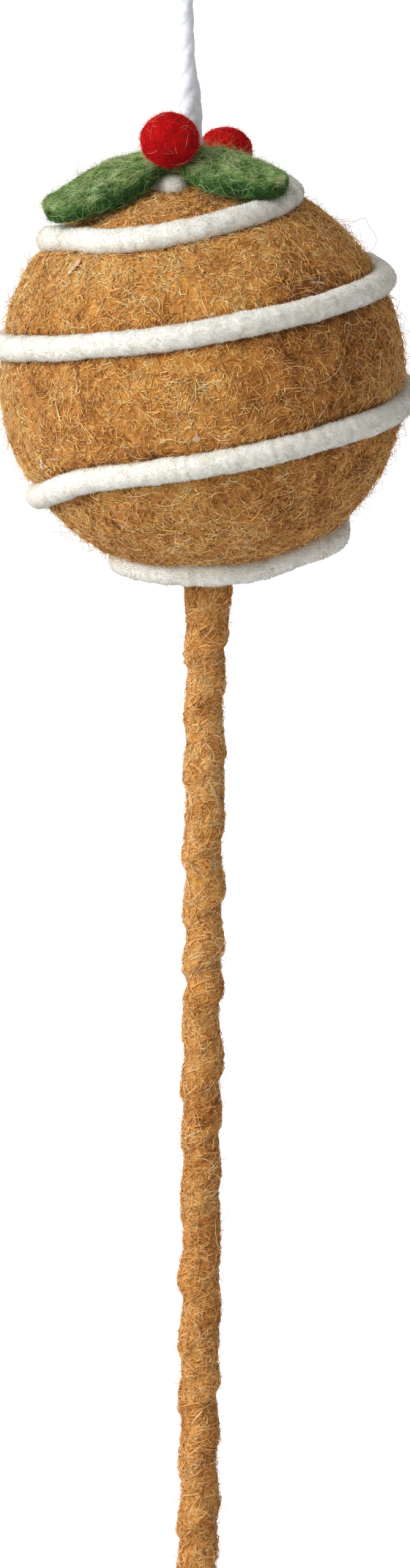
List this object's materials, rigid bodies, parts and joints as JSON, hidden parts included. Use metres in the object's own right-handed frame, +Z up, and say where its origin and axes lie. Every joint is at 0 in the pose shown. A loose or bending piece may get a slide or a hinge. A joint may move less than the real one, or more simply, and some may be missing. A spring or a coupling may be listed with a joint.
{
  "type": "cake pop ornament",
  "caption": "Hanging ornament shaped as an iced cake pop: a felted ball on a wool-wrapped stick, with a chenille spiral, felt leaves, felt berries and a cord loop.",
  "frame": {"origin": "the underside of the hanging loop's top bend, where the loop bears on a hook", "axes": "+Z up along the hanging cord, -Y towards the viewer of the picture, +X to the viewer's right"},
  "size_m": [0.079, 0.0779, 0.3401],
  "materials": {
    "foam": "matte",
    "ball_wool": "matte",
    "stick_wool": "matte",
    "birch": "matte",
    "glue": "satin",
    "chenille": "matte",
    "wire": "satin",
    "leaf_felt": "matte",
    "berry_felt": "matte",
    "cotton": "matte"
  },
  "bodies": {
    "hanger": {"hanging_loop": "cotton"},
    "cord_foot": {"cord_leg_front": "cotton", "cord_leg_rear": "cotton"},
    "ornament": {"foam_core": "foam", "felt_skin": "ball_wool", "stick_dowel": "birch", "stick_glue": "glue", "stick_collar": "stick_wool", "stick_wrap": "stick_wool", "stick_tip": "stick_wool", "icing_chenille": "chenille", "icing_wire": "wire", "leaf_left": "leaf_felt", "leaf_right": "leaf_felt", "berry_front": "berry_felt", "berry_rear": "berry_felt", "topper_glue": "glue", "anchor_knot": "cotton", "cord_tail_front": "cotton", "cord_tail_rear": "cotton"}
  },
  "joints": [
    {"name": "cord_twist", "type": "hinge", "parent": "hanger", "child": "cord_foot", "pos_m": [0, 0, -0.02615], "axis": [0, 0, 1], "range_deg": [-180, 180]},
    {"name": "ornament_swing", "type": "hinge", "parent": "cord_foot", "child": "ornament", "pos_m": [0, 0, -0.0521], "axis": [0, 1, 0], "range_deg": [-75, 75]}
  ]
}
